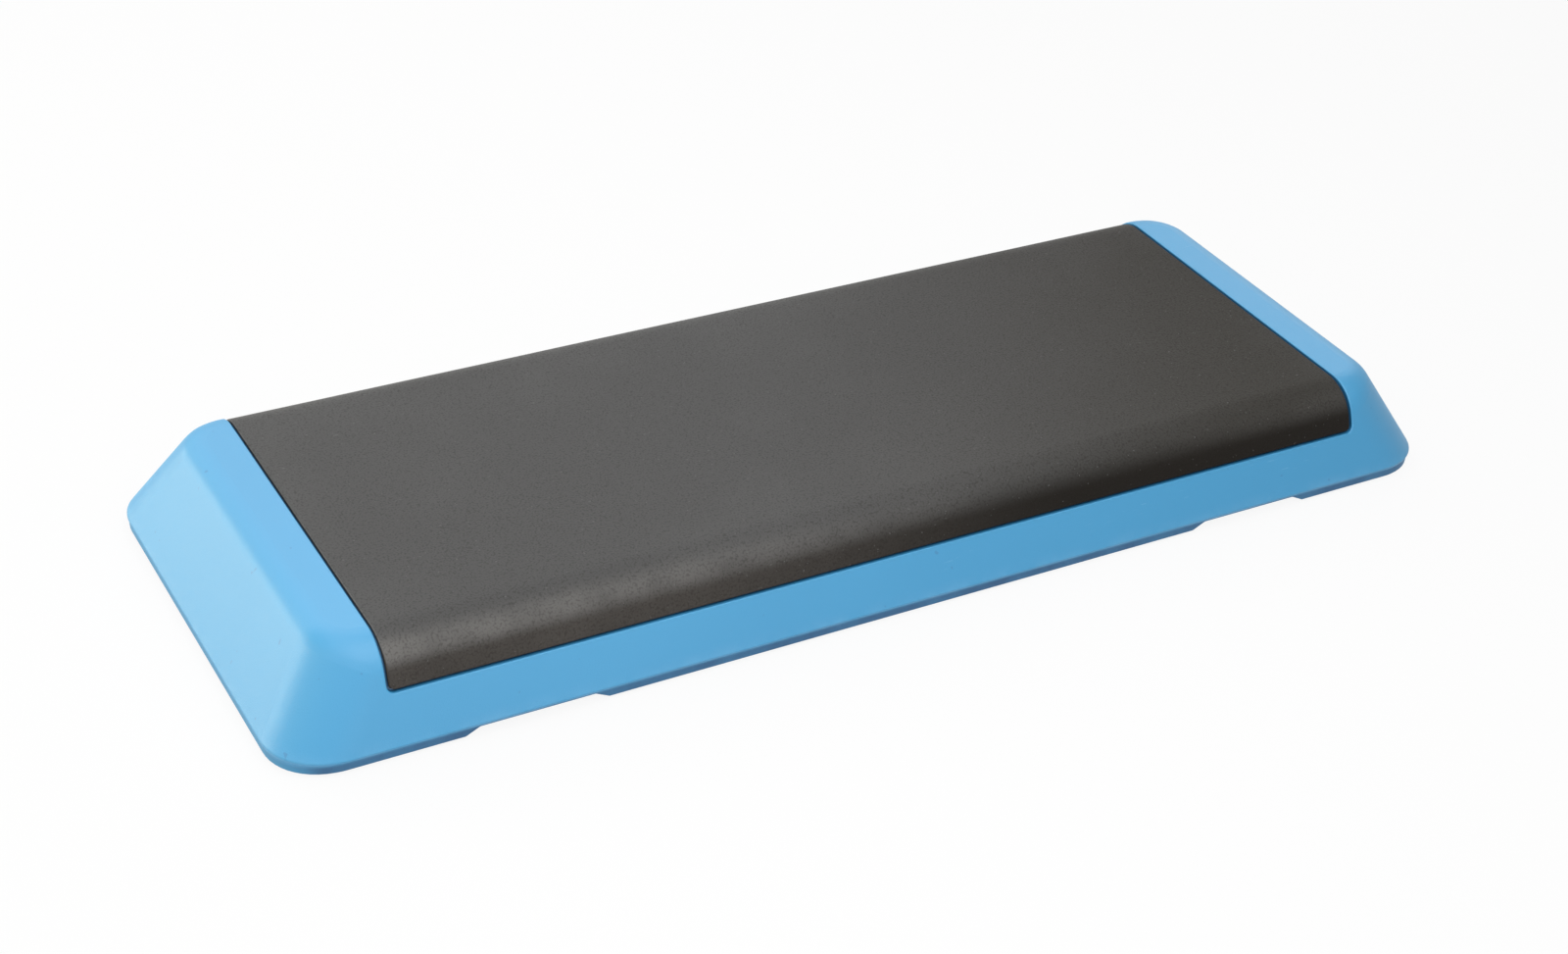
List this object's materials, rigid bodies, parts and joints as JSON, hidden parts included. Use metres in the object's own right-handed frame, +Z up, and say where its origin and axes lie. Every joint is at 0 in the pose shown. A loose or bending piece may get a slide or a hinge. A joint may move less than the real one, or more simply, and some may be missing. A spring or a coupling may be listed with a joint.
{
  "type": "aerobic step platform",
  "caption": "Low rectangular exercise step with sloped moulded sides, a rubber tread mat wrapped over both long edges, and an open ribbed underside that takes risers.",
  "frame": {"origin": "on the floor, under the middle of the deck", "axes": "+X along the deck to its right end, +Y to its rear, +Z up"},
  "size_m": [1.09, 0.406, 0.09],
  "materials": {
    "deck": "fine moulded texture, satin",
    "mat": "matt, fine pebbled grain",
    "foot": "matt"
  },
  "bodies": {
    "root": {"deck_shell": "deck", "tread_mat": "mat", "foot_front_left": "foot", "foot_front_mid_left": "foot", "foot_front_mid_right": "foot", "foot_front_right": "foot", "foot_rear_left": "foot", "foot_rear_mid_left": "foot", "foot_rear_mid_right": "foot", "foot_rear_right": "foot"}
  },
  "joints": []
}
